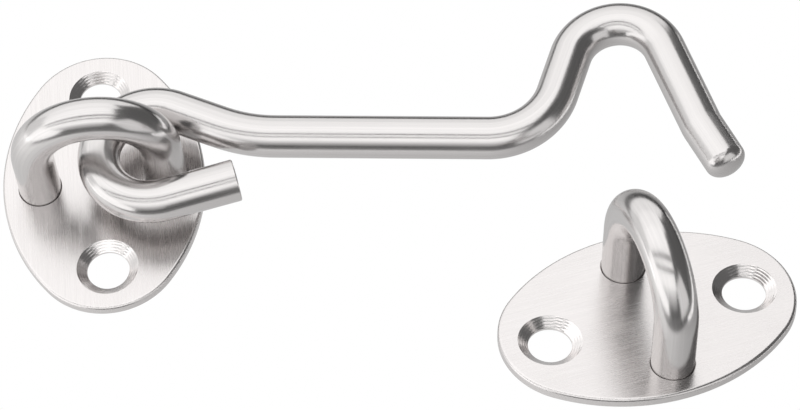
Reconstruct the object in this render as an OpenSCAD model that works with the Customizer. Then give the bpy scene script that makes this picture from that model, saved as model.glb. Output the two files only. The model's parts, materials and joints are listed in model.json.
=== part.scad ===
// Hook and eye latch: a bent rod hook linked on a plate with a welded staple, and a matching eye.
// The origin is the centre of the hook plate's back face, +Z points away from the door,
// +Y runs along the hook plate and the hook reaches out along +X.

/* [Plates] */
// Length of each oval plate, along its row of screws
plate_len = 45.5; // [42:0.5:60]
// Width of each oval plate
plate_wid = 31.2; // [29:0.2:36]
// Radius of the two tight ends of the oval
plate_end_r = 11.8; // [10:0.2:13.4]
// Thickness of the sheet
plate_t = 1.6; // [1.2:0.1:3]
// Rounding of the front edge
plate_edge_r = 0.5; // [0.2:0.1:0.8]
// Bevel of the back edge
plate_back_bevel = 0.2; // [0.1:0.05:0.4]

/* [Screw holes] */
// Distance between the two screw holes
screw_spacing = 30.6; // [27:0.2:34]
// Diameter of a screw hole at the back
screw_hole_d = 6.5; // [4:0.1:7]
// Diameter of a countersink at the front face
countersink_d = 9.5; // [7.5:0.1:10.5]
// Depth of a countersink
countersink_depth = 1.1; // [0.6:0.05:1.1]

/* [Staples] */
// Diameter of the staple rod
staple_rod_d = 6.5; // [5:0.1:7]
// Distance between the centres of the two legs
staple_span = 19.6; // [17:0.2:21]
// Height of the rod's centre at the crown, above the plate's front
staple_rise = 18.2; // [17.6:0.1:26]
// Radial clearance of a leg in its hole
leg_clear = 0.05; // [0.03:0.01:0.1]
// Width of a weld ring on the plate's back
weld_wid = 1; // [0.6:0.1:1.4]
// Depth of a weld ring
weld_depth = 0.8; // [0.5:0.1:1]

/* [Hook] */
// Diameter of the hook rod
hook_rod_d = 6.5; // [5:0.1:7]
// Gap between the hook's underside and the plate's front
hook_lift = 3.95; // [0.5:0.05:4.5]
// Angle of the shank from +X, about the leg that carries the hook
hook_angle = -7.3; // [-60:0.1:60]
// Radius of the closed loop, to the rod's centre
loop_r = 8.3; // [7.5:0.1:9.5]
// Gap between the loop and the leg where the loop hangs on it
loop_seat_gap = 0.3; // [0.2:0.05:0.5]
// Side of the loop that hangs on the leg, as an angle from the shank
loop_seat_angle = 34; // [20:1:90]
// Length of the straight tail of the loop
tail_len = 11.2; // [8:0.1:13]
// Angle of the tail to the shank
tail_angle = 18.5; // [12:0.5:24]
// Length of the straight neck after the loop
neck_len = 7.5; // [4:0.5:10]
// Radius of the bend from the neck to the shank
neck_r = 24; // [12:1:40]
// Angle of the neck to the shank
neck_angle = 21; // [18:0.5:30]
// Length of the straight shank
shank_len = 32.5; // [20:0.5:120]
// Radius of the bend from the shank to the rise
rise_r = 10.5; // [6:0.5:14]
// Angle of the rise to the shank
rise_angle = 76; // [60:0.5:88]
// Length of the straight rise
rise_len = 7.1; // [4:0.1:14]
// Radius of the hump, to the rod's centre
hump_r = 7.6; // [6:0.1:12]
// Angle of the fall below the shank's line
fall_angle = 65.5; // [65:0.5:80]
// Length of the straight fall
fall_len = 14.6; // [8:0.2:18]
// Radius of the bend that flares the tip
flare_r = 6; // [4:0.5:14]
// Angle of the tip below the shank's line
tip_angle = 58.7; // [45:0.1:64]
// Length of the tip, with its rounded end
tip_len = 8.8; // [6:0.1:16]
// Rounding of the rod's tip
tip_round = 1.9; // [0.5:0.1:2.2]

/* [Eye half] */
// Place of the eye plate's back centre along X
eye_x = 80.9; // [70:0.1:160]
// Place of the eye plate's back centre along Y
eye_y = -44.7; // [-80:0.1:-40]
// Height of the eye plate's back centre above the hook's upper side
eye_lift = 7.55; // [7:0.05:40]
// Turn of the eye half about Z
eye_turn = -72.5; // [-110:0.5:-50]
// Lean of the eye half across its plate
eye_lean = -7.6; // [-15:0.1:0]
// Lean of the eye half along its plate
eye_pitch = -9.7; // [-15:0.1:0]

/* [Hidden] */
$fn = 96;
// Overshoot of a cut past the face it starts from
cut = 1;
// Runs that follow one another lap by this length, and the inner one is this much slimmer all round
lap = 0.2;
lap_ease = 0.01;
// The end discs of the oval are this much smaller, so that their rims run out inside its sides
oval_ease = 0.05;
plate_steel = [0.84, 0.82, 0.81];
rod_steel = [0.72, 0.72, 0.73];
weld_steel = [0.55, 0.54, 0.53];

// Four-arc oval: the end arcs sit on Y, the side arcs are centred across the plate on X
oval_end_y = plate_len / 2 - plate_end_r;
oval_step = plate_wid / 2 - plate_end_r;
oval_side_x = (oval_end_y * oval_end_y - oval_step * oval_step) / (2 * oval_step);
oval_side_r = plate_wid / 2 + oval_side_x;
oval_half_angle = atan2(oval_end_y, oval_side_x);

arch_r = staple_span / 2;
arch_z = plate_t + staple_rise - arch_r;
leg_hole_d = staple_rod_d + 2 * leg_clear;

// The loop is drawn clockwise from the tail, so its centre lies to the right of its first point
hook_z = plate_t + hook_lift + hook_rod_d / 2;
straight_d = hook_rod_d - 2 * lap_ease;
tail_heading = 180 + tail_angle;
loop_turn = tail_heading + neck_angle;
loop_play = loop_r - (hook_rod_d + staple_rod_d) / 2 - loop_seat_gap;
loop_centre = -loop_play * [cos(loop_seat_angle), sin(loop_seat_angle)];
loop_start = loop_centre + loop_r * [-sin(tail_heading), cos(tail_heading)];
tail_end = loop_start - tail_len * [cos(tail_heading), sin(tail_heading)];

// Bending table of the hook: straight length, bend radius, bend angle, left turns positive
hook_runs = [
    [tail_len, loop_r, -loop_turn],
    [neck_len, neck_r, neck_angle],
    [shank_len, rise_r, rise_angle],
    [rise_len, hump_r, -(rise_angle + fall_angle)],
    [fall_len, flare_r, fall_angle - tip_angle],
];

eye_place = [eye_x, eye_y, hook_z + hook_rod_d / 2 + eye_lift];
eye_attitude = [eye_pitch, eye_lean, eye_turn];

// Half section of a plate out to one rim arc, with a rounded front and a bevelled back
module plate_section(rim_r) {
    square([rim_r - plate_edge_r, plate_t]);
    translate([0, plate_back_bevel])
        square([rim_r, plate_t - plate_edge_r - plate_back_bevel]);
    translate([rim_r - plate_edge_r, plate_t - plate_edge_r])
        circle(plate_edge_r);
    polygon([
        [0, 0],
        [rim_r - plate_back_bevel, 0],
        [rim_r, plate_back_bevel],
        [0, plate_back_bevel],
    ]);
}

// One sector of the oval, swept from its own arc centre; a whole end disc lies within the sides
module oval_sector(from, sweep, rim_r) {
    rotate(from)
        rotate_extrude(angle = sweep)
            plate_section(rim_r);
}

module oval_blank() {
    for (side = [0, 180]) {
        rotate(side)
            translate([-oval_side_x, 0])
                oval_sector(-oval_half_angle, 2 * oval_half_angle, oval_side_r);
        rotate(side)
            translate([0, oval_end_y])
                oval_sector(0, 360, plate_end_r - oval_ease);
    }
}

module screw_hole() {
    translate([0, 0, -cut])
        cylinder(d = screw_hole_d, h = plate_t + 2 * cut);
    translate([0, 0, plate_t - countersink_depth])
        cylinder(d1 = screw_hole_d, d2 = countersink_d, h = countersink_depth);
    translate([0, 0, plate_t])
        cylinder(d = countersink_d, h = cut);
}

// Weld ring in the bevel round a leg, level with the plate's back
module weld_ring() {
    rotate_extrude()
        polygon([
            [staple_rod_d / 2, 0],
            [leg_hole_d / 2 + weld_wid, 0],
            [leg_hole_d / 2, weld_depth],
            [staple_rod_d / 2, weld_depth],
        ]);
}

module leg_hole() {
    translate([0, 0, -cut])
        cylinder(d = leg_hole_d, h = plate_t + 2 * cut);
    cylinder(d1 = leg_hole_d + 2 * weld_wid, d2 = leg_hole_d, h = weld_depth);
}

module at_legs() {
    for (side = [-1, 1])
        translate([side * staple_span / 2, 0, 0])
            children();
}

module plate() {
    difference() {
        oval_blank();
        for (side = [-1, 1])
            translate([0, side * screw_spacing / 2, 0])
                screw_hole();
        at_legs()
            leg_hole();
    }
}

module staple() {
    at_legs()
        cylinder(d = staple_rod_d, h = arch_z);
    translate([0, 0, arch_z])
        rotate([90, 0, 0])
            rotate_extrude(angle = 180)
                translate([arch_r, 0])
                    circle(d = staple_rod_d);
}

module staple_welds() {
    at_legs()
        weld_ring();
}

// A length of rod along +X that laps into the bends before and after it
module straight_rod(len, lap_before) {
    translate([-lap_before, 0, 0])
        rotate([0, 90, 0])
            cylinder(d = straight_d, h = lap_before + len + lap);
}

// A bend that leaves the origin along +X, to the left for a positive angle
module bent_rod(bend_r, angle) {
    side = sign(angle);
    translate([0, side * bend_r, 0])
        rotate(angle > 0 ? -90 : 90 + angle)
            rotate_extrude(angle = abs(angle))
                translate([bend_r, 0])
                    circle(d = hook_rod_d);
}

// Rounded end of the rod, along +X
module rod_tip(len) {
    core_r = straight_d / 2 - tip_round;
    translate([-lap, 0, 0])
        rotate([0, 90, 0])
            rotate_extrude() {
                square([straight_d / 2, lap + len - tip_round]);
                square([core_r, lap + len]);
                intersection() {
                    translate([core_r, lap + len - tip_round])
                        circle(tip_round);
                    square([straight_d / 2, lap + len]);
                }
            }
}

// Draws the bending table one run after another and ends in the rounded tip
module bent_hook(step = 0) {
    if (step == len(hook_runs)) {
        rod_tip(tip_len);
    } else {
        run = hook_runs[step];
        side = sign(run[2]);
        straight_rod(run[0], step == 0 ? 0 : lap);
        translate([run[0], 0, 0]) {
            bent_rod(run[1], run[2]);
            translate([0, side * run[1], 0])
                rotate(run[2])
                    translate([0, -side * run[1], 0])
                        bent_hook(step + 1);
        }
    }
}

module on_eye_half() {
    translate(eye_place)
        rotate(eye_attitude)
            children();
}

module hook_plate() {
    color(plate_steel)
        plate();
}

module hook_staple() {
    color(rod_steel)
        staple();
}

module hook_staple_welds() {
    color(weld_steel)
        staple_welds();
}

module hook() {
    color(rod_steel)
        translate([staple_span / 2, 0, hook_z])
            rotate(hook_angle)
                translate(tail_end)
                    rotate(tail_heading)
                        bent_hook();
}

module eye_plate() {
    color(plate_steel)
        on_eye_half()
            plate();
}

module eye_staple() {
    color(rod_steel)
        on_eye_half()
            staple();
}

module eye_staple_welds() {
    color(weld_steel)
        on_eye_half()
            staple_welds();
}

hook_plate();
hook_staple();
hook_staple_welds();
hook();
eye_plate();
eye_staple();
eye_staple_welds();
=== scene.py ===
"""Looks of a hook and eye latch: polished bent rods on brushed oval plates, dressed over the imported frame."""

import json
import math
from collections import namedtuple

import bpy
from mathutils import Euler, Matrix, Vector
from mathutils.geometry import delaunay_2d_cdt


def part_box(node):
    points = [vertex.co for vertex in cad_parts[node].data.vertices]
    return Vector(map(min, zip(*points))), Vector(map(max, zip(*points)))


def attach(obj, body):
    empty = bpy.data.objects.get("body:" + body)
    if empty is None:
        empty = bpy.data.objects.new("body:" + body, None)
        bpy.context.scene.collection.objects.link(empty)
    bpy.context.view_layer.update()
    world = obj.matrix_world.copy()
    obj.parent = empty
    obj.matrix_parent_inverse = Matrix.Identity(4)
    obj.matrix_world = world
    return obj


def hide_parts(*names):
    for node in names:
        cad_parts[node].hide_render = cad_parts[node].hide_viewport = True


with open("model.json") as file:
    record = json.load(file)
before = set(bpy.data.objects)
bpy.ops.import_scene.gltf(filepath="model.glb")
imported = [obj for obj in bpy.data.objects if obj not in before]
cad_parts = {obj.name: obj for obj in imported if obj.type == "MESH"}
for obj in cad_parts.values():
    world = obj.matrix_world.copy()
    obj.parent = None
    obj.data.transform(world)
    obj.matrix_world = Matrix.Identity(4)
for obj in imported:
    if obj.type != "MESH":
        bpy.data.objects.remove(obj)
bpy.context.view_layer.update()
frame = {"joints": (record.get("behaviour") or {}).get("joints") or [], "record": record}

bl_info = {
    "name": "Hook and Eye Latch",
    "version": (1, 0, 0),
    "blender": (4, 5, 0),
    "location": "View3D > Sidebar > Latch",
    "description": "Builds the polished rods, brushed plates and weld beads of a hook and eye latch",
    "category": "Add Mesh",
}

MM = 0.001

# Sizes and places that the frame already holds
PLATE_LOW, PLATE_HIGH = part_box("hook_plate")
STAPLE_LOW, STAPLE_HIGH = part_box("hook_staple")
HOOK_LOW, HOOK_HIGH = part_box("hook")
MOUNTS = {mount["name"]: mount for mount in frame["record"]["mounts"]}
SWING = frame["joints"][0]
STAPLE_ROD = STAPLE_HIGH.y - STAPLE_LOW.y
HOOK_ROD = HOOK_HIGH.z - HOOK_LOW.z
SCREWS = MOUNTS["hook_screws"]["dims"]

# The attribute that holds a surface's own flat or straightened coordinates, with Y along its lines
LAID_OUT = "laid_out"
# The attribute that holds the rod's scale at each point of its path
ROD_SCALE = "rod_scale"

# Both sides of a plate's centre, for its pairs of holes, legs and welds
SIDES = (-1, 1)

# Steps of an oval's side and end, of a hole, and of the rounded edges of plates and countersinks
SIDE_STEPS = 40
END_STEPS = 64
HOLE_STEPS = 72
FRONT_STEPS = 10
BACK_STEPS = 5
SINK_STEPS = 4
# Drop of a countersink's rounded rim, as a share of its rounding
RIM_DROP = 0.25

# Rings of the hook's dome, and the scale of its last ring, which a small flat cap closes
DOME_RINGS = 24
DOME_CAP = 0.01

# Steps of a weld bead along its ring and round itself
BEAD_STEPS = 240
BEAD_SIDES = 20

# Points of a flat face that lie closer than this are one
SAME_POINT = 1e-9

# Numbers of a plate's two materials
PLATE_FINISH = 0
SINK_FINISH = 1

# Spread of a steel's roughness over its lines and under its smudges, and the bump of its lines
Touch = namedtuple("Touch", "line_spread smudge_spread bump_height bump_strength")
PLATE_TOUCH = Touch(line_spread=0.04, smudge_spread=0.04, bump_height=0.003 * MM, bump_strength=0.5)
ROD_TOUCH = Touch(line_spread=0.03, smudge_spread=0.05, bump_height=0.002 * MM, bump_strength=0.3)
SINK_TOUCH = Touch(line_spread=0.04, smudge_spread=0.06, bump_height=0.02 * MM, bump_strength=0.5)
WELD_TOUCH = Touch(line_spread=0.08, smudge_spread=0.1, bump_height=0.01 * MM, bump_strength=0.6)

# Part of a noise's range that becomes 0 to 1
LINE_NOISE = (0.28, 0.72)
SMUDGE_NOISE = (0.35, 0.7)
# Size of the smudges in countersinks and on welds, as a share of those on plates and rods
SMALL_SMUDGE = 0.25

# Overhead soft boxes in front, each dimmer than the one before
DIMMING_BOXES = 5


def length_prop(name, text, default):
    """A length in metres."""
    return bpy.props.FloatProperty(name=name, description=text, default=default, unit="LENGTH", precision=5)


def angle_prop(name, text, degrees):
    """An angle, given in degrees."""
    default = math.radians(degrees)
    return bpy.props.FloatProperty(name=name, description=text, default=default, subtype="ANGLE")


def share_prop(name, text, default):
    """A share or strength, mostly from 0 to 1."""
    return bpy.props.FloatProperty(name=name, description=text, default=default, min=0)


def place_prop(name, text, default):
    """A place in the row frame, in metres."""
    return bpy.props.FloatVectorProperty(
        name=name, description=text, default=default, subtype="TRANSLATION", unit="LENGTH"
    )


def way_prop(name, text, default):
    """A direction in the row frame."""
    return bpy.props.FloatVectorProperty(name=name, description=text, default=default, subtype="DIRECTION")


def turn_prop(name, text, degrees):
    """A turn about X, then Y, then Z, given in degrees."""
    default = [math.radians(angle) for angle in degrees]
    return bpy.props.FloatVectorProperty(name=name, description=text, default=default, subtype="EULER")


def colour_prop(name, text, default):
    """A linear colour."""
    return bpy.props.FloatVectorProperty(
        name=name, description=text, default=default, subtype="COLOR", min=0, max=1
    )


class LatchPlateSizes(bpy.types.PropertyGroup):
    """Sizes of the two like plates; their holes follow the mounts."""

    length: length_prop("Length", "Length of a plate, along its screws", PLATE_HIGH.y - PLATE_LOW.y)
    width: length_prop("Width", "Width of a plate", PLATE_HIGH.x - PLATE_LOW.x)
    thick: length_prop("Thickness", "Thickness of the sheet", PLATE_HIGH.z - PLATE_LOW.z)
    end_r: length_prop("End radius", "Radius of the tight ends of the oval", 11.8 * MM)
    edge_r: length_prop("Front edge", "Rounding of the front edge", 0.5 * MM)
    back_r: length_prop("Back edge", "Rounding of the back edge", 0.2 * MM)
    screw_gap: length_prop("Screw spacing", "Distance of the two screw holes", SCREWS["spacing_y_mm"] * MM)
    screw_r: length_prop("Screw hole radius", "Radius of a screw hole", SCREWS["hole_r_mm"] * MM)
    sink_r: length_prop("Countersink radius", "Radius of a countersink at the front", 4.75 * MM)
    sink_deep: length_prop("Countersink depth", "Depth of a countersink", 1.1 * MM)
    sink_edge: length_prop("Countersink edge", "Rounding of the countersink's rim", 0.06 * MM)
    leg_gap: length_prop("Leg gap", "Gap between a leg and its hole", 0.05 * MM)
    seam: length_prop("Seam", "Bevel of a leg hole, which shows as a thin dark seam", 0.1 * MM)
    weld_wide: length_prop("Weld width", "Width of the weld groove on the back", 1 * MM)
    weld_deep: length_prop("Weld depth", "Depth of the weld groove", 0.8 * MM)
    weld_flat: share_prop("Weld flatness", "Height of a weld bead as a share of its width", 0.6)
    ripples: bpy.props.IntProperty(name="Weld ripples", description="Ripples round a weld bead", default=30)
    ripple: length_prop("Ripple height", "Height of a ripple on a weld bead", 0.05 * MM)
    eye_turn: turn_prop("Eye half turn", "Turn of the eye half, which lies loose", (-9.7, -7.6, -72.5))


class LatchRodSizes(bpy.types.PropertyGroup):
    """Bends of the hook and of the two like staples, to the rod's centre."""

    staple_r: length_prop("Staple rod radius", "Radius of the staple rod", STAPLE_ROD / 2)
    span: length_prop("Staple span", "Distance of the two legs", STAPLE_HIGH.x - STAPLE_LOW.x - STAPLE_ROD)
    crown: length_prop("Staple crown", "Height of the crown's centre", STAPLE_HIGH.z - STAPLE_ROD / 2)
    hook_r: length_prop("Hook rod radius", "Radius of the hook rod", HOOK_ROD / 2)
    hook_turn: angle_prop("Hook turn", "Turn of the shank from +X at rest", -7.3)
    loop_r: length_prop("Loop radius", "Radius of the closed loop", 8.3 * MM)
    loop_play: length_prop("Loop play", "Offset of the loop's centre from its leg", 1.5 * MM)
    loop_seat: angle_prop("Loop seat", "Side of the loop that hangs on the leg", 34)
    tail: length_prop("Tail", "Length of the straight tail", 11.2 * MM)
    tail_turn: angle_prop("Tail turn", "Angle of the tail to the shank", 18.5)
    neck: length_prop("Neck", "Length of the straight neck", 7.5 * MM)
    neck_r: length_prop("Neck radius", "Radius of the bend from neck to shank", 24 * MM)
    neck_turn: angle_prop("Neck turn", "Angle of the neck to the shank", 21)
    shank: length_prop("Shank", "Length of the straight shank", 32.5 * MM)
    rise_r: length_prop("Rise radius", "Radius of the bend from shank to rise", 10.5 * MM)
    rise_turn: angle_prop("Rise turn", "Angle of the rise to the shank", 76)
    rise: length_prop("Rise", "Length of the straight rise", 7.1 * MM)
    hump_r: length_prop("Hump radius", "Radius of the hump", 7.6 * MM)
    fall_turn: angle_prop("Fall turn", "Angle of the fall below the shank", 65.5)
    fall: length_prop("Fall", "Length of the straight fall", 14.6 * MM)
    flare_r: length_prop("Flare radius", "Radius of the bend that flares the tip", 6 * MM)
    tip_turn: angle_prop("Tip turn", "Angle of the tip below the shank", 58.7)
    tip: length_prop("Tip", "Length of the tip with its dome", 8.8 * MM)
    dome: length_prop("Dome", "Length of the domed end", 2.1 * MM)
    dome_power: share_prop("Dome fullness", "Power of the dome's curve; 2 is an ellipse", 2.15)
    cut_edge: length_prop("Cut edge", "Bevel of a sawn rod end", 0.15 * MM)
    bend_step: angle_prop("Bend step", "Turn between two rings of a bend", 2)
    sides: bpy.props.IntProperty(name="Sides", description="Sides of a rod", default=96, min=12)


class LatchFinish(bpy.types.PropertyGroup):
    """Colours and gloss of the steel."""

    plate_colour: colour_prop("Plate colour", "Satin steel of the plates", (0.74, 0.714, 0.706))
    plate_shade: colour_prop("Plate shade", "Satin steel in the valleys of its lines", (0.66, 0.636, 0.629))
    rod_colour: colour_prop("Rod colour", "Polished steel of the rods", (0.67, 0.65, 0.643))
    rod_shade: colour_prop("Rod shade", "Polished steel in the valleys of its lines", (0.6, 0.582, 0.576))
    # The countersink colour is turned steel's own tone raised above the plate steel as painted light, so that
    # the cone looks brightly lit
    sink_colour_with_painted_light: colour_prop("Countersink colour", "Bright steel of the countersinks", (0.84, 0.81, 0.8))
    sink_shade: colour_prop("Countersink shade", "Turned steel under its smudges", (0.72, 0.698, 0.69))
    weld_colour: colour_prop("Weld colour", "Bright weld metal", (0.55, 0.53, 0.51))
    weld_tint: colour_prop("Weld tint", "Straw tint beside the weld", (0.42, 0.34, 0.25))
    plate_rough: share_prop("Plate roughness", "Mean roughness of the plates", 0.24)
    rod_rough: share_prop("Rod roughness", "Mean roughness of the rods", 0.19)
    sink_rough: share_prop("Countersink roughness", "Mean roughness of the turned countersinks", 0.16)
    weld_rough: share_prop("Weld roughness", "Mean roughness of the weld beads", 0.38)
    brush_wide: length_prop("Brush width", "Width of a brushed line on the plates", 0.12 * MM)
    brush_long: length_prop("Brush length", "Length of a brushed line on the plates", 9 * MM)
    draw_wide: length_prop("Draw width", "Width of a drawn line on the rods", 0.16 * MM)
    draw_long: length_prop("Draw length", "Length of a drawn line on the rods", 60 * MM)
    turn_pitch: length_prop("Turning pitch", "Pitch of the turned lines in a countersink", 0.42 * MM)
    smudge: length_prop("Smudge size", "Size of a faint smudge", 7 * MM)


class LatchStage(bpy.types.PropertyGroup):
    """Camera, floor and soft boxes."""

    target: place_prop("Target", "Point that the camera looks at", (0.0455, -0.014, 0.0088))
    distance: length_prop("Distance", "Distance of the camera from its target", 0.9057)
    azimuth: angle_prop("Azimuth", "Turn of the camera round the latch", 4.6)
    elevation: angle_prop("Elevation", "Height of the camera above the horizon", 58.56)
    roll: angle_prop("Roll", "Turn of the camera about its own axis", -9.7)
    lens: bpy.props.FloatProperty(name="Lens", description="Focal length", default=270, unit="CAMERA")
    floor_z: length_prop("Floor height", "Height of the floor", -0.09)
    floor_size: length_prop("Floor size", "Side of the square floor", 6)
    floor_reach: length_prop("Floor reach", "Depth at which the floor's reflection dims", 0.33)
    floor_edge: length_prop("Floor edge", "Width of the soft edge of the floor's reflection", 0.04)
    floor_pale: share_prop("Floor pale", "Brightness of the floor at the left front in reflections", 1.1)
    floor_dim: share_prop("Floor dim", "Brightness of the floor at the right back in reflections", 0.2)
    floor_far: share_prop("Floor far", "Brightness of the floor beyond its reach, as a share", 0.2)
    floor_way: way_prop("Floor way", "Way in which the floor's reflection grows paler", (-0.9, -0.43, 0))
    room_glow: share_prop("Room brightness", "Brightness of the room in reflections", 0.13)
    panel_glow: share_prop("Panel brightness", "Brightness of the overhead boxes", 1.33)
    far_glow: share_prop("Far brightness", "Brightness of the far overhead box", 1.21)
    back_glow: share_prop("Back brightness", "Brightness of the box behind", 1.04)
    left_glow: share_prop("Left brightness", "Brightness of the near box at the left", 1.43)
    left_far_glow: share_prop("Left far brightness", "Brightness of the far box at the left", 0.81)
    right_glow: share_prop("Right brightness", "Brightness of the box at the right front", 0.81)
    panel_high: length_prop("Panel height", "Height of the overhead boxes", 0.5)
    panel_left: length_prop("Panel left", "Left edge of the soft boxes", -0.9)
    panel_right: length_prop("Panel right", "Right edge of the overhead boxes", 0.29)
    far_right: length_prop("Far right", "Right edge of the far overhead box", 0.38)
    panel_near: length_prop("Panel near", "Near edge of the full overhead boxes", -0.68)
    panel_split: length_prop("Panel split", "Near edge of the far overhead box", 0.25)
    panel_far: length_prop("Panel far", "Far edge of the overhead boxes", 0.75)
    slot_near: length_prop("Near slot", "Middle of the near slot between the overhead boxes", -0.305)
    slot_far: length_prop("Far slot", "Middle of the far slot between the overhead boxes", -0.137)
    slot_wide: length_prop("Slot width", "Width of the slots between the overhead boxes", 0.06)
    fade_step: share_prop("Fade step", "Growth of the dimming boxes in front, from one to the next", 1.32)
    fade: share_prop("Fade", "Brightness of a dimming box to the one before it", 0.7)
    back_low: length_prop("Back low", "Lower edge of the box behind", 0.02)
    back_right: length_prop("Back right", "Right edge of the box behind", 0.55)
    left_low: length_prop("Left low", "Lower edge of the boxes at the left", -0.08)
    left_near: length_prop("Left near", "Near edge of the boxes at the left", -1.65)
    left_split: length_prop("Left split", "Edge between the near and the far box at the left", -0.05)
    right_way: angle_prop("Right way", "Direction of the box at the right front, from behind", 137)
    right_away: length_prop("Right distance", "Distance of the box at the right front", 1)
    right_wide: length_prop("Right width", "Width of the box at the right front", 0.83)
    right_tall: length_prop("Right height", "Height of the box at the right front", 0.93)
    strip_place: place_prop("Strip place", "Middle of the low strip at the right", (0.33, 0, -0.07))
    strip_wide: length_prop("Strip width", "Width of the low strip at the right", 0.03)
    strip_long: length_prop("Strip length", "Length of the low strip at the right", 0.6)
    strip_glow: share_prop("Strip brightness", "Brightness of the low strip at the right", 1.8)


PROPERTY_GROUPS = {
    "latch_plate": LatchPlateSizes,
    "latch_rod": LatchRodSizes,
    "latch_finish": LatchFinish,
    "latch_stage": LatchStage,
}


# Node helpers

def feed(tree, socket, value):
    """Links another socket to an input, or sets the input to a plain value."""
    if isinstance(value, bpy.types.NodeSocket):
        tree.links.new(value, socket)
    else:
        socket.default_value = value


def add_node(tree, kind, feeds=None, **settings):
    """A new node with its settings, whose inputs are then fed by name or number."""
    node = tree.nodes.new(kind)
    for key, value in settings.items():
        setattr(node, key, value)
    for key, value in (feeds or {}).items():
        feed(tree, node.inputs[key], value)
    return node


def first_out(tree, kind, feeds=None, **settings):
    """The first output of a new node."""
    return add_node(tree, kind, feeds, **settings).outputs[0]


def math_node(tree, operation, *values):
    """The output of a Math node whose inputs are sockets or numbers."""
    return first_out(tree, "ShaderNodeMath", dict(enumerate(values)), operation=operation)


def map_range(tree, value, low, high, to_low, to_high):
    """The output of a clamped Map Range of a socket."""
    feeds = {"Value": value, "From Min": low, "From Max": high, "To Min": to_low, "To Max": to_high}
    return first_out(tree, "ShaderNodeMapRange", feeds)


def mix_colours(tree, factor, first, second):
    """The output of a Mix of two colours by a socket."""
    node = add_node(tree, "ShaderNodeMix", {"Factor": factor}, data_type="RGBA")
    colours = [socket for socket in node.inputs if socket.type == "RGBA"]
    for socket, colour in zip(colours, (first, second)):
        socket.default_value = (*colour, 1)
    return next(socket for socket in node.outputs if socket.type == "RGBA")


def capture(tree, geometry, kind, value):
    """Keeps a value on geometry; returns the geometry and the kept value."""
    node = add_node(tree, "GeometryNodeCaptureAttribute")
    node.capture_items.new(kind, "Kept")
    feed(tree, node.inputs["Geometry"], geometry)
    feed(tree, node.inputs["Kept"], value)
    return node.outputs["Geometry"], node.outputs["Kept"]


def store(tree, geometry, kind, domain, name, value):
    """The geometry with a value stored as a named attribute."""
    feeds = {"Geometry": geometry, "Name": name, "Value": value}
    return first_out(tree, "GeometryNodeStoreNamedAttribute", feeds, data_type=kind, domain=domain)


def new_group(kind, name, inputs, output):
    """An empty node group; each socket is a name, a kind and perhaps a default.

    Returns its tree, the sockets that give its inputs and the socket that takes its result."""
    tree = bpy.data.node_groups.new(name, kind)
    sockets = [("INPUT", *entry) for entry in inputs] + [("OUTPUT", *output)]
    for direction, label, socket_kind, *default in sockets:
        socket = tree.interface.new_socket(label, in_out=direction, socket_type="NodeSocket" + socket_kind)
        if default:
            socket.default_value = default[0]
    return tree, tree.nodes.new("NodeGroupInput").outputs, tree.nodes.new("NodeGroupOutput").inputs[0]


def node_group(name, maker):
    """The node group of a name, which its maker builds the first time."""
    return bpy.data.node_groups.get(name) or maker(name)


# Shared surface effects

def fine_lines(name):
    """Fine lines along Y of the coordinates, as brushing, drawing and polishing leave them."""
    inputs = [("Coordinates", "Vector"), ("Line Width", "Float", 0.1 * MM), ("Line Length", "Float", 10 * MM)]
    tree, given, result = new_group("ShaderNodeTree", name, inputs, ("Lines", "Float"))
    wide = given["Line Width"]
    pitch = first_out(tree, "ShaderNodeCombineXYZ", {"X": wide, "Y": given["Line Length"], "Z": wide})
    scaled = first_out(tree, "ShaderNodeVectorMath", {0: given["Coordinates"], 1: pitch}, operation="DIVIDE")
    feeds = {"Vector": scaled, "Scale": 1, "Detail": 3, "Roughness": 0.62}
    noise = first_out(tree, "ShaderNodeTexNoise", feeds)
    feed(tree, result, map_range(tree, noise, *LINE_NOISE, 0, 1))
    return tree


def cloudy_smudges(name):
    """Faint cloudy patches, as handling and uneven polishing leave them."""
    inputs = [("Coordinates", "Vector"), ("Patch Size", "Float", 8 * MM)]
    tree, given, result = new_group("ShaderNodeTree", name, inputs, ("Smudges", "Float"))
    scale = math_node(tree, "DIVIDE", 1, given["Patch Size"])
    feeds = {"Vector": given["Coordinates"], "Scale": scale, "Detail": 4}
    noise = first_out(tree, "ShaderNodeTexNoise", feeds)
    feed(tree, result, map_range(tree, noise, *SMUDGE_NOISE, 0, 1))
    return tree


def lines_on(tree, coordinates, wide, long):
    """The mask of fine lines in a material."""
    feeds = {"Coordinates": coordinates, "Line Width": wide, "Line Length": long}
    return first_out(tree, "ShaderNodeGroup", feeds, node_tree=node_group("Fine Lines", fine_lines))


def smudges_on(tree, coordinates, size):
    """The mask of smudges in a material."""
    feeds = {"Coordinates": coordinates, "Patch Size": size}
    return first_out(tree, "ShaderNodeGroup", feeds, node_tree=node_group("Smudges", cloudy_smudges))


# Materials

def brushed_plate_steel(tree, coordinates, finish):
    """Satin sheet, brushed along the plate."""
    lines = lines_on(tree, coordinates, finish.brush_wide, finish.brush_long)
    smudges = smudges_on(tree, coordinates, finish.smudge)
    colour = mix_colours(tree, lines, finish.plate_shade, finish.plate_colour)
    return colour, lines, smudges, finish.plate_rough, PLATE_TOUCH


def polished_rod_steel(tree, coordinates, finish):
    """Polished drawn rod with faint lines along it."""
    lines = lines_on(tree, coordinates, finish.draw_wide, finish.draw_long)
    smudges = smudges_on(tree, coordinates, finish.smudge)
    colour = mix_colours(tree, lines, finish.rod_shade, finish.rod_colour)
    return colour, lines, smudges, finish.rod_rough, ROD_TOUCH


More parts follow.
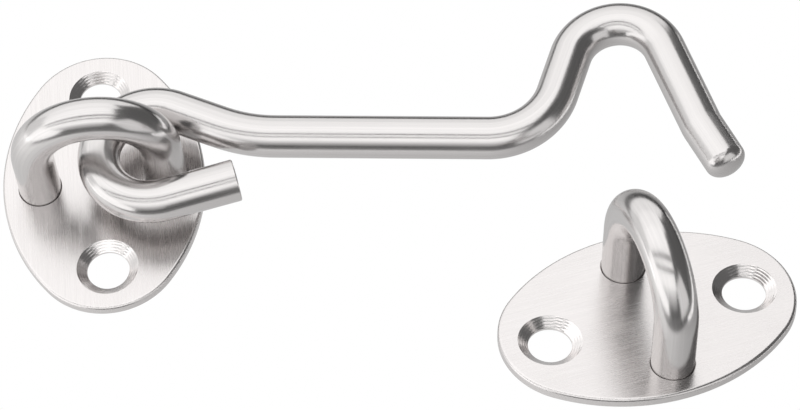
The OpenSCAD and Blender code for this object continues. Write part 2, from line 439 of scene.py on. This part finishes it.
def turned_sink_steel(tree, coordinates, finish):
    """Countersink with the fine circles that its cutter left."""
    across = add_node(tree, "ShaderNodeVectorMath", {0: coordinates}, operation="LENGTH").outputs["Value"]
    turns = math_node(tree, "MULTIPLY", across, 2 * math.pi / finish.turn_pitch)
    circles = map_range(tree, math_node(tree, "SINE", turns), -1, 1, 0, 1)
    smudges = smudges_on(tree, coordinates, SMALL_SMUDGE * finish.smudge)
    # Painted light: the countersink's colour is brighter than the plate's steel to look lit, and its smudges
    # mix in the duller sink shade
    colour = mix_colours(tree, smudges, finish.sink_colour_with_painted_light, finish.sink_shade)
    return colour, circles, smudges, finish.sink_rough, SINK_TOUCH


def weld_bead_steel(tree, coordinates, finish):
    """Brushed weld metal with a straw tint in patches."""
    lines = lines_on(tree, coordinates, finish.draw_wide, finish.draw_wide)
    smudges = smudges_on(tree, coordinates, SMALL_SMUDGE * finish.smudge)
    colour = mix_colours(tree, smudges, finish.weld_colour, finish.weld_tint)
    return colour, lines, smudges, finish.weld_rough, WELD_TOUCH


def dress_steel(tree, colour, lines, smudges, rough, touch):
    """Feeds a steel's shader: colour, roughness that changes with lines and smudges, and lines as bump."""
    in_lines = map_range(tree, lines, 0, 1, rough - touch.line_spread, rough + touch.line_spread)
    in_smudges = map_range(tree, smudges, 0, 1, 0, touch.smudge_spread)
    bump = {"Distance": touch.bump_height, "Strength": touch.bump_strength, "Height": lines}
    shader = tree.nodes["Principled BSDF"].inputs
    feed(tree, shader["Metallic"], 1)
    feed(tree, shader["Base Color"], colour)
    feed(tree, shader["Roughness"], math_node(tree, "ADD", in_lines, in_smudges))
    feed(tree, shader["Normal"], first_out(tree, "ShaderNodeBump", bump))


def finish_material(maker):
    """The material that a maker plans on its surface's own coordinates, made once."""
    name = maker.__name__
    if name in bpy.data.materials:
        return bpy.data.materials[name]
    material = bpy.data.materials.new(name)
    material.use_nodes = True
    tree = material.node_tree
    coordinates = add_node(tree, "ShaderNodeAttribute", attribute_name=LAID_OUT).outputs["Vector"]
    dress_steel(tree, *maker(tree, coordinates, bpy.context.scene.latch_finish))
    return material


# Geometry Nodes trees

def bent_rod(name):
    """Sweeps a round rod along a polyline whose points carry the rod's scale."""
    inputs = [
        ("Geometry", "Geometry"),
        ("Rod Radius", "Float", 3 * MM),
        ("Sides", "Int", 64),
        ("Sharp Angle", "Float", math.radians(30)),
        ("Finish", "Material"),
    ]
    tree, given, result = new_group("GeometryNodeTree", name, inputs, ("Geometry", "Geometry"))
    path = first_out(tree, "GeometryNodeMeshToCurve", {"Mesh": given["Geometry"]})
    length = add_node(tree, "GeometryNodeSplineParameter").outputs["Length"]
    path, along = capture(tree, path, "FLOAT", length)
    feeds = {"Resolution": given["Sides"], "Radius": given["Rod Radius"]}
    circle = first_out(tree, "GeometryNodeCurvePrimitiveCircle", feeds)
    circle, around = capture(tree, circle, "VECTOR", first_out(tree, "GeometryNodeInputPosition"))
    scale = first_out(tree, "GeometryNodeInputNamedAttribute", {"Name": ROD_SCALE}, data_type="FLOAT")
    feeds = {"Curve": path, "Profile Curve": circle, "Scale": scale, "Fill Caps": True}
    rod = first_out(tree, "GeometryNodeCurveToMesh", feeds)
    scaled = first_out(tree, "ShaderNodeVectorMath", {0: around, "Scale": scale}, operation="SCALE")
    parts = add_node(tree, "ShaderNodeSeparateXYZ", {0: scaled}).outputs
    straight = first_out(tree, "ShaderNodeCombineXYZ", {"X": parts["X"], "Y": along, "Z": parts["Y"]})
    rod = store(tree, rod, "FLOAT_VECTOR", "POINT", LAID_OUT, straight)
    rod = first_out(tree, "GeometryNodeSetShadeSmooth", {"Geometry": rod})
    bend = add_node(tree, "GeometryNodeInputMeshEdgeAngle").outputs["Unsigned Angle"]
    is_sharp = math_node(tree, "GREATER_THAN", bend, given["Sharp Angle"])
    rod = store(tree, rod, "BOOLEAN", "EDGE", "sharp_edge", is_sharp)
    finish_tree(tree, rod, given["Finish"], result)
    return tree


def weld_bead(name):
    """Runs a rippled bead round each point, in the groove between a leg and its plate."""
    inputs = [
        ("Geometry", "Geometry"),
        ("Ring Radius", "Float", 3.8 * MM),
        ("Bead Radius", "Float", 0.5 * MM),
        ("Flatness", "Float", 0.6),
        ("Ripples", "Int", 30),
        ("Ripple Height", "Float", 0.05 * MM),
        ("Turn", "Rotation"),
        ("Finish", "Material"),
    ]
    tree, given, result = new_group("GeometryNodeTree", name, inputs, ("Geometry", "Geometry"))
    feeds = {"Resolution": BEAD_STEPS, "Radius": given["Ring Radius"]}
    ring = first_out(tree, "GeometryNodeCurvePrimitiveCircle", feeds)
    factor = add_node(tree, "GeometryNodeSplineParameter").outputs["Factor"]
    ring, share = capture(tree, ring, "FLOAT", factor)
    feeds = {"Resolution": BEAD_SIDES, "Radius": given["Bead Radius"]}
    profile = first_out(tree, "GeometryNodeCurvePrimitiveCircle", feeds)
    bead = first_out(tree, "GeometryNodeCurveToMesh", {"Curve": ring, "Profile Curve": profile})
    turns = math_node(tree, "MULTIPLY", share, math.pi)
    wave = math_node(tree, "SINE", math_node(tree, "MULTIPLY", turns, given["Ripples"]))
    lift = math_node(tree, "MULTIPLY", math_node(tree, "ABSOLUTE", wave), given["Ripple Height"])
    upward = first_out(tree, "ShaderNodeCombineXYZ", {"Z": lift})
    bead = first_out(tree, "GeometryNodeSetPosition", {"Geometry": bead, "Offset": upward})
    flat = first_out(tree, "ShaderNodeCombineXYZ", {"X": 1, "Y": 1, "Z": given["Flatness"]})
    bead = first_out(tree, "GeometryNodeTransform", {"Geometry": bead, "Scale": flat})
    bead = first_out(tree, "GeometryNodeSetShadeSmooth", {"Geometry": bead})
    feeds = {"Points": given["Geometry"], "Instance": bead, "Rotation": given["Turn"]}
    beads = first_out(tree, "GeometryNodeInstanceOnPoints", feeds)
    beads = first_out(tree, "GeometryNodeRealizeInstances", {"Geometry": beads})
    place = first_out(tree, "GeometryNodeInputPosition")
    beads = store(tree, beads, "FLOAT_VECTOR", "POINT", LAID_OUT, place)
    finish_tree(tree, beads, given["Finish"], result)
    return tree


def finish_tree(tree, geometry, finish, result):
    """Ends a tree in real geometry with its material."""
    real = first_out(tree, "GeometryNodeRealizeInstances", {"Geometry": geometry})
    coated = first_out(tree, "GeometryNodeSetMaterial", {"Geometry": real, "Material": finish})
    feed(tree, result, coated)


def add_object(name, data):
    """A new object in the scene."""
    thing = bpy.data.objects.new(name, data)
    bpy.context.scene.collection.objects.link(thing)
    return thing


def grow(name, base_mesh, tree, values):
    """A plain mesh object from a base mesh and a tree with its values set."""
    base = add_object(name + "_base", base_mesh)
    modifier = base.modifiers.new("grow", "NODES")
    modifier.node_group = tree
    for socket in tree.interface.items_tree:
        if socket.in_out == "INPUT" and socket.name in values:
            modifier[socket.identifier] = values[socket.name]
    evaluated = base.evaluated_get(bpy.context.evaluated_depsgraph_get())
    mesh = bpy.data.meshes.new_from_object(evaluated)
    bpy.data.objects.remove(base)
    bpy.data.meshes.remove(base_mesh)
    mesh.name = name
    if not mesh.polygons:
        raise RuntimeError(f"{name} came out empty")
    return add_object(name, mesh)


def seat(piece, body, node):
    """Ties a finished piece to the frame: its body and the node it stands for."""
    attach(piece, body)
    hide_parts(node)


def halves():
    """The two like halves: their name and the place of their plate's back centre."""
    turn = Euler(bpy.context.scene.latch_plate.eye_turn, "XYZ")
    eye = Matrix.Translation(MOUNTS["eye_back"]["pos_m"]) @ turn.to_matrix().to_4x4()
    return (("hook", Matrix.Identity(4)), ("eye", eye))


# Rods

def ahead(way):
    """The flat unit vector at an angle from +X."""
    return Vector((math.cos(way), math.sin(way)))


def leftward(way):
    """The flat unit vector to the left of an angle from +X."""
    return Vector((-math.sin(way), math.cos(way)))


def bend_points(point, heading, runs, step):
    """Points of a flat bent path; each run is a straight length, a bend radius and a turn, left positive."""
    points = [point]
    for straight, radius, turn in runs:
        point = point + straight * ahead(heading)
        points.append(point)
        side = math.copysign(1, turn)
        centre = point + side * radius * leftward(heading)
        count = math.ceil(abs(turn) / step)
        for index in range(1, count + 1):
            way = heading + turn * index / count
            points.append(centre - side * radius * leftward(way))
        point = points[-1]
        heading += turn
    return points, heading


def cut_end(points, radius, bevel):
    """Rod points with a bevelled flat end at the first point, each with the rod's scale there."""
    inward = (points[1] - points[0]).normalized()
    return [(points[0], 1 - bevel / radius), (points[0] + bevel * inward, 1)]


def domed_end(end, heading, dome, power):
    """Rod points of a dome that ends at a point."""
    direction = ahead(heading)
    ring_points = []
    for index in range(DOME_RINGS + 1):
        share = math.sin(math.pi / 2 * index / DOME_RINGS)
        scale = max(1 - share ** power, 0) ** (1 / power)
        ring_points.append((end - dome * (1 - share) * direction, max(scale, DOME_CAP)))
    return ring_points


def rod_piece(name, marked_points, place, radius, sides):
    """A rod swept along points with scales, placed by a matrix from its own flat XY plane."""
    mesh = bpy.data.meshes.new(name + "_path")
    spots = [place @ Vector((*point, 0)) for point, scale in marked_points]
    mesh.from_pydata(spots, [(index, index + 1) for index in range(len(spots) - 1)], [])
    scales = mesh.attributes.new(ROD_SCALE, "FLOAT", "POINT")
    scales.data.foreach_set("value", [scale for point, scale in marked_points])
    values = {"Rod Radius": radius, "Sides": sides, "Finish": finish_material(polished_rod_steel)}
    return grow(name, mesh, node_group("Bent Rod", bent_rod), values)


class LATCH_OT_hook_rod(bpy.types.Operator):
    """Bends the hook from one rod: tail, closed loop, neck, shank, hump and domed tip"""

    bl_idname = "latch.hook_rod"
    bl_label = "Hook Rod"

    def execute(self, context):
        rod = context.scene.latch_rod
        tail_way = math.pi + rod.tail_turn
        loop_centre = -rod.loop_play * ahead(rod.loop_seat)
        loop_start = loop_centre + rod.loop_r * leftward(tail_way)
        tail_end = loop_start - rod.tail * ahead(tail_way)
        runs = (
            (rod.tail, rod.loop_r, -(tail_way + rod.neck_turn)),
            (rod.neck, rod.neck_r, rod.neck_turn),
            (rod.shank, rod.rise_r, rod.rise_turn),
            (rod.rise, rod.hump_r, -(rod.rise_turn + rod.fall_turn)),
            (rod.fall, rod.flare_r, rod.fall_turn - rod.tip_turn),
        )
        points, heading = bend_points(tail_end, tail_way, runs, rod.bend_step)
        tip_end = points[-1] + rod.tip * ahead(heading)
        marked = cut_end(points, rod.hook_r, rod.cut_edge)
        marked += [(point, 1) for point in points[1:]]
        marked += domed_end(tip_end, heading, rod.dome, rod.dome_power)
        place = Matrix.Translation(SWING["pos_m"]) @ Matrix.Rotation(rod.hook_turn, 4, "Z")
        piece = rod_piece("hook_rod", marked, place, rod.hook_r, rod.sides)
        seat(piece, "hook", "hook")
        return {"FINISHED"}


class LATCH_OT_staples(bpy.types.Operator):
    """Bends the two like staples, with legs that end level with the backs of their plates"""

    bl_idname = "latch.staples"
    bl_label = "Staples"

    def execute(self, context):
        rod = context.scene.latch_rod
        arch_r = rod.span / 2
        leg = rod.crown - arch_r
        upright = Matrix.Rotation(math.pi / 2, 4, "X")
        start = Vector((arch_r, 0))
        points, heading = bend_points(start, math.pi / 2, ((leg, arch_r, math.pi),), rod.bend_step)
        points.append(Vector((-arch_r, 0)))
        marked = cut_end(points, rod.staple_r, rod.cut_edge)
        marked += [(point, 1) for point in points[1:-1]]
        marked += reversed(cut_end(points[::-1], rod.staple_r, rod.cut_edge))
        for half, place in halves():
            piece = rod_piece(half + "_staple_rod", marked, place @ upright, rod.staple_r, rod.sides)
            seat(piece, "fixed_halves", half + "_staple")
        return {"FINISHED"}


# Plates

class PlateSurface:
    """Collects the rings and faces of a plate with the normal and the laid-out place of every corner."""

    def __init__(self):
        self.spots = []
        self.faces = []
        self.normals = []
        self.laid = []
        self.finishes = []

    def ring(self, points):
        """Adds a ring of points and returns their numbers."""
        first = len(self.spots)
        self.spots.extend(points)
        return list(range(first, len(self.spots)))

    def face(self, corners, normals, finish=PLATE_FINISH, centre=Vector()):
        """Adds a face, turned so that its corners run left round the mean normal."""
        sides = [self.spots[corners[index]] for index in (0, 1, -1)]
        outward = sum(normals, Vector())
        if (sides[1] - sides[0]).cross(sides[2] - sides[0]).dot(outward) < 0:
            corners = corners[::-1]
            normals = normals[::-1]
        self.faces.append(corners)
        self.normals.extend(normals)
        self.laid.extend(self.spots[corner] - centre for corner in corners)
        self.finishes.append(finish)

    def strip(self, first, second, finish, centre):
        """Joins two rings of like count, which list their corners with the normals there."""
        count = len(first)
        for index in range(count):
            after = (index + 1) % count
            corners, normals = zip(first[index], first[after], second[after], second[index])
            self.face(corners, normals, finish, centre)

    def sheet(self, outer, holes, normal):
        """Fills the flat face between an outer ring and its holes."""
        rings = (outer, *holes)
        numbers = [number for ring in rings for number in ring]
        edges = []
        for ring in rings:
            first = numbers.index(ring[0])
            edges += [(first + index, first + (index + 1) % len(ring)) for index in range(len(ring))]
        flat = [self.spots[number].xy for number in numbers]
        inside_outer = 1
        triangles, origins = delaunay_2d_cdt(flat, edges, [], inside_outer, SAME_POINT)[2:4]
        hole_of = {number: index for index, hole in enumerate(holes) for number in hole}
        for triangle in triangles:
            corners = [numbers[origins[corner][0]] for corner in triangle]
            touched = {hole_of.get(corner) for corner in corners}
            if len(touched) > 1 or None in touched:
                self.face(corners, [normal] * 3)

    def piece(self, name, place, materials):
        """The finished object, placed by a matrix."""
        mesh = bpy.data.meshes.new(name)
        mesh.from_pydata([place @ spot for spot in self.spots], [], self.faces)
        laid = mesh.attributes.new(LAID_OUT, "FLOAT_VECTOR", "CORNER")
        laid.data.foreach_set("vector", [value for spot in self.laid for value in spot])
        for material in materials:
            mesh.materials.append(material)
        mesh.polygons.foreach_set("material_index", self.finishes)
        turn = place.to_3x3()
        mesh.normals_split_custom_set([turn @ normal for normal in self.normals])
        return add_object(name, mesh)


def oval_outline(plate):
    """Points and outward directions round the four-arc oval."""
    end_y = plate.length / 2 - plate.end_r
    step = plate.width / 2 - plate.end_r
    side_x = (end_y ** 2 - step ** 2) / (2 * step)
    half_angle = math.atan2(end_y, side_x)
    end_angle = math.pi - 2 * half_angle
    side_r = plate.width / 2 + side_x
    arcs = (
        (Vector((-side_x, 0)), side_r, -half_angle, 2 * half_angle, SIDE_STEPS),
        (Vector((0, end_y)), plate.end_r, half_angle, end_angle, END_STEPS),
        (Vector((side_x, 0)), side_r, math.pi - half_angle, 2 * half_angle, SIDE_STEPS),
        (Vector((0, -end_y)), plate.end_r, math.pi + half_angle, end_angle, END_STEPS),
    )
    outline = []
    for centre, radius, start, sweep, count in arcs:
        for index in range(count):
            outward = ahead(start + sweep * index / count)
            outline.append((centre + radius * outward, outward))
    return outline


def round_outline(centre, radius):
    """Points and inward directions round a hole."""
    directions = [ahead(2 * math.pi * index / HOLE_STEPS) for index in range(HOLE_STEPS)]
    return [(centre + radius * direction, -direction) for direction in directions]


def quarter_round(radius, middle, start, steps):
    """Profile of a rounded edge about a middle height, from a first lean of its normal."""
    leans = [start + math.pi / 2 * index / steps for index in range(steps + 1)]
    return [(radius * (1 - math.sin(lean)), middle + radius * math.cos(lean), lean, lean) for lean in leans]


def wall(surface, outline, profile, finish=PLATE_FINISH, centre=Vector()):
    """Joins rings of an outline; each profile entry is inset, height, lean above and lean below.

    A lean is the angle of the surface's normal from straight up, on the faces before and after that ring."""
    rings = []
    for inset, height, *leans in profile:
        numbers = surface.ring(Vector((*(point - inset * outward), height)) for point, outward in outline)
        above, below = (
            [Vector((*(math.sin(lean) * outward), math.cos(lean))) for point, outward in outline]
            for lean in leans
        )
        rings.append((numbers, list(zip(numbers, above)), list(zip(numbers, below))))
    for upper, lower in zip(rings, rings[1:]):
        surface.strip(upper[2], lower[1], finish, centre)
    return rings[0][0], rings[-1][0]


def rim_profile(plate):
    """Edge of a plate from its front to its back."""
    front = quarter_round(plate.edge_r, plate.thick - plate.edge_r, 0, FRONT_STEPS)
    return front + quarter_round(plate.back_r, plate.back_r, math.pi / 2, BACK_STEPS)


def mirrored(profile):
    """A hole's profile: its outline points inwards, so insets change sign."""
    return [(-inset, *rest) for inset, *rest in profile]


def sink_profile(plate):
    """Countersunk hole from front to back; insets are measured inwards from the countersink's radius."""
    step_in = plate.sink_r - plate.screw_r
    slope = math.atan2(plate.sink_deep, step_in)
    rim_wide = plate.sink_edge * math.tan(slope / 2)
    rim_drop = RIM_DROP * plate.sink_edge
    rim = [
        (-rim_wide * (1 - lean / slope), plate.thick - rim_drop * math.sin(lean), lean, lean)
        for lean in (slope * index / SINK_STEPS for index in range(SINK_STEPS + 1))
    ]
    upright = math.pi / 2
    foot = (step_in, plate.thick - plate.sink_deep, slope, upright)
    back = [
        (step_in - inset, *rest)
        for inset, *rest in quarter_round(plate.back_r, plate.back_r, upright, SINK_STEPS)
    ]
    return mirrored([*rim, foot, *back])


def leg_profile(plate):
    """Leg hole from front to back, with a fine front bevel and the weld groove at the back."""
    upright = math.pi / 2
    bevel = upright / 2
    groove = upright + math.atan2(plate.weld_wide, plate.weld_deep)
    return mirrored([
        (-plate.seam, plate.thick, bevel, bevel),
        (0, plate.thick - plate.seam, bevel, upright),
        (0, plate.weld_deep, upright, groove),
        (-plate.weld_wide, 0, groove, groove),
    ])


class LATCH_OT_plates(bpy.types.Operator):
    """Makes the two like oval plates with rounded edges, countersunk screw holes and leg holes"""

    bl_idname = "latch.plates"
    bl_label = "Plates"

    def execute(self, context):
        plate = context.scene.latch_plate
        rod = context.scene.latch_rod
        surface = PlateSurface()
        rings = [wall(surface, oval_outline(plate), rim_profile(plate))]
        for side in SIDES:
            centre = Vector((0, side * plate.screw_gap / 2))
            outline = round_outline(centre, plate.sink_r)
            rings.append(wall(surface, outline, sink_profile(plate), SINK_FINISH, centre.to_3d()))
        for side in SIDES:
            centre = Vector((side * rod.span / 2, 0))
            outline = round_outline(centre, rod.staple_r + plate.leg_gap)
            rings.append(wall(surface, outline, leg_profile(plate)))
        front_rings, back_rings = zip(*rings)
        surface.sheet(front_rings[0], front_rings[1:], Vector((0, 0, 1)))
        surface.sheet(back_rings[0], back_rings[1:], Vector((0, 0, -1)))
        materials = [finish_material(brushed_plate_steel), finish_material(turned_sink_steel)]
        for half, place in halves():
            piece = surface.piece(half + "_plate_oval", place, materials)
            seat(piece, "fixed_halves", half + "_plate")
        return {"FINISHED"}


class LATCH_OT_welds(bpy.types.Operator):
    """Runs the rippled weld beads round the leg ends on the backs of the plates"""

    bl_idname = "latch.welds"
    bl_label = "Weld Beads"

    def execute(self, context):
        plate = context.scene.latch_plate
        rod = context.scene.latch_rod
        bead_r = plate.weld_wide / 2
        for half, place in halves():
            mesh = bpy.data.meshes.new(half + "_weld_points")
            legs = [Vector((side * rod.span / 2, 0, plate.weld_flat * bead_r)) for side in SIDES]
            mesh.from_pydata([place @ leg for leg in legs], [], [])
            values = {
                "Ring Radius": rod.staple_r + bead_r,
                "Bead Radius": bead_r,
                "Flatness": plate.weld_flat,
                "Ripples": plate.ripples,
                "Ripple Height": plate.ripple,
                "Turn": place.to_euler(),
                "Finish": finish_material(weld_bead_steel),
            }
            piece = grow(half + "_weld_beads", mesh, node_group("Weld Bead", weld_bead), values)
            seat(piece, "fixed_halves", half + "_staple_welds")
        return {"FINISHED"}


# Stage

def camera_switch(tree, seen, reflected):
    """A brightness that differs for the camera and for reflections; both are sockets or numbers."""
    is_camera = add_node(tree, "ShaderNodeLightPath").outputs["Is Camera Ray"]
    feeds = {"Factor": is_camera, "A": reflected, "B": seen}
    return first_out(tree, "ShaderNodeMix", feeds, data_type="FLOAT")


def pale_floor(stage):
    """A plain pale floor whose reflection grows paler one way and dims a little way off."""
    half = stage.floor_size / 2
    mesh = bpy.data.meshes.new("floor")
    corners = [(-half, -half, 0), (half, -half, 0), (half, half, 0), (-half, half, 0)]
    mesh.from_pydata(corners, [], [(0, 1, 2, 3)])
    floor = add_object("floor", mesh)
    floor.location = (stage.target[0], stage.target[1], stage.floor_z)
    material = bpy.data.materials.new("pale_floor")
    material.use_nodes = True
    tree = material.node_tree
    tree.nodes.clear()
    spot = add_node(tree, "ShaderNodeTexCoord").outputs["Object"]
    feeds = {0: spot, 1: stage.floor_way}
    along = add_node(tree, "ShaderNodeVectorMath", feeds, operation="DOT_PRODUCT").outputs["Value"]
    across = add_node(tree, "ShaderNodeSeparateXYZ", {0: spot}).outputs["Y"]
    reach = stage.floor_reach
    paler = map_range(tree, along, -reach, reach, stage.floor_dim, stage.floor_pale)
    depth = math_node(tree, "ABSOLUTE", across)
    lit = map_range(tree, depth, reach, reach + stage.floor_edge, 1, stage.floor_far)
    strength = camera_switch(tree, 1, math_node(tree, "MULTIPLY", paler, lit))
    glow = first_out(tree, "ShaderNodeEmission", {"Strength": strength})
    add_node(tree, "ShaderNodeOutputMaterial", {"Surface": glow})
    mesh.materials.append(material)


def soft_box(name, centre, width, height, facing, glow):
    """A rectangular soft box that the camera doesn't see; glow is its brightness."""
    light = bpy.data.lights.new(name, "AREA")
    light.shape = "RECTANGLE"
    light.size = width
    light.size_y = height
    light.energy = glow * math.pi * width * height
    box = add_object(name, light)
    box.location = centre
    box.rotation_euler = facing.to_track_quat("-Z", "Y").to_euler()
    box.visible_camera = False


def overhead_spans(stage):
    """Near, far and right edge and brightness of each overhead box, with two slots between them."""
    half_slot = stage.slot_wide / 2
    right = stage.panel_right
    spans = [
        (stage.panel_split, stage.panel_far, stage.far_right, stage.far_glow),
        (stage.slot_far + half_slot, stage.panel_split, right, stage.panel_glow),
        (stage.slot_near + half_slot, stage.slot_far - half_slot, right, stage.panel_glow),
        (stage.panel_near, stage.slot_near - half_slot, right, stage.panel_glow),
    ]
    far = stage.panel_near
    glow = stage.panel_glow
    for step in range(DIMMING_BOXES):
        near = far * stage.fade_step
        glow *= stage.fade
        spans.append((near, far, right, glow))
        far = near
    return spans


def soft_boxes(stage):
    """Boxes overhead, behind, at the left and at the right front, and a low strip at the right."""
    for index, (near, far, right, glow) in enumerate(overhead_spans(stage)):
        wide = right - stage.panel_left
        centre = Vector((right - wide / 2, (near + far) / 2, stage.panel_high))
        soft_box(f"overhead_{index}", centre, wide, far - near, Vector((0, 0, -1)), glow)
    back_wide = stage.back_right - stage.panel_left
    back_tall = stage.panel_high - stage.back_low
    back_x = (stage.back_right + stage.panel_left) / 2
    back = Vector((back_x, stage.panel_far, stage.back_low + back_tall / 2))
    soft_box("back", back, back_wide, back_tall, Vector((0, -1, 0)), stage.back_glow)
    left_tall = stage.panel_high - stage.left_low
    left_spans = (
        (stage.left_near, stage.left_split, stage.left_glow),
        (stage.left_split, stage.panel_far, stage.left_far_glow),
    )
    for index, (near, far, glow) in enumerate(left_spans):
        left = Vector((stage.panel_left, (near + far) / 2, stage.left_low + left_tall / 2))
        soft_box(f"left_{index}", left, far - near, left_tall, Vector((1, 0, 0)), glow)
    outward = Vector((math.sin(stage.right_way), math.cos(stage.right_way), 0))
    right = Vector(stage.target) + stage.right_away * outward
    right.z = stage.left_low + stage.right_tall / 2
    soft_box("right", right, stage.right_wide, stage.right_tall, -outward, stage.right_glow)
    strip = Vector(stage.strip_place)
    inward = Vector(stage.target) - strip
    soft_box("strip", strip, stage.strip_long, stage.strip_wide, inward, stage.strip_glow)


def dim_room(stage):
    """A world that is pale to the camera and dim in reflections."""
    world = bpy.data.worlds.new("room")
    world.use_nodes = True
    background = world.node_tree.nodes["Background"]
    background.inputs["Color"].default_value = (1, 1, 1, 1)
    strength = camera_switch(world.node_tree, 1, stage.room_glow)
    feed(world.node_tree, background.inputs["Strength"], strength)
    bpy.context.scene.world = world


def photo_camera(stage):
    """The camera at the photograph's angle."""
    data = bpy.data.cameras.new("camera")
    data.lens = stage.lens
    data.dof.use_dof = False
    camera = add_object("camera", data)
    tilt = math.pi / 2 - stage.elevation
    turn = (
        Matrix.Rotation(stage.azimuth, 4, "Z")
        @ Matrix.Rotation(tilt, 4, "X")
        @ Matrix.Rotation(stage.roll, 4, "Z")
    )
    away = Matrix.Translation((0, 0, stage.distance))
    camera.matrix_world = Matrix.Translation(stage.target) @ turn @ away
    bpy.context.scene.camera = camera


class LATCH_OT_stage(bpy.types.Operator):
    """Sets the pale floor, the soft boxes, the dim room and the camera"""

    bl_idname = "latch.stage"
    bl_label = "Stage"

    def execute(self, context):
        stage = context.scene.latch_stage
        pale_floor(stage)
        soft_boxes(stage)
        dim_room(stage)
        photo_camera(stage)
        context.scene.view_settings.view_transform = "Standard"
        return {"FINISHED"}


OPERATORS = (LATCH_OT_stage, LATCH_OT_plates, LATCH_OT_staples, LATCH_OT_hook_rod, LATCH_OT_welds)


class LATCH_PT_sidebar(bpy.types.Panel):
    """Lists the pieces of the latch and the sizes that they are made from"""

    bl_idname = "LATCH_PT_sidebar"
    bl_label = "Hook and Eye Latch"
    bl_space_type = "VIEW_3D"
    bl_region_type = "UI"
    bl_category = "Latch"

    def draw(self, context):
        for operator in OPERATORS:
            self.layout.operator(operator.bl_idname)
        for group_name, group in PROPERTY_GROUPS.items():
            column = self.layout.column()
            for key in group.__annotations__:
                column.prop(getattr(context.scene, group_name), key)


CLASSES = (*PROPERTY_GROUPS.values(), *OPERATORS, LATCH_PT_sidebar)


def register():
    for cls in CLASSES:
        bpy.utils.register_class(cls)
    for name, group in PROPERTY_GROUPS.items():
        setattr(bpy.types.Scene, name, bpy.props.PointerProperty(type=group))


def unregister():
    for name in PROPERTY_GROUPS:
        delattr(bpy.types.Scene, name)
    for cls in reversed(CLASSES):
        bpy.utils.unregister_class(cls)


def main():
    register()
    bpy.ops.latch.stage()
    bpy.ops.latch.plates()
    bpy.ops.latch.staples()
    bpy.ops.latch.hook_rod()
    bpy.ops.latch.welds()


if __name__ == "__main__":
    main()
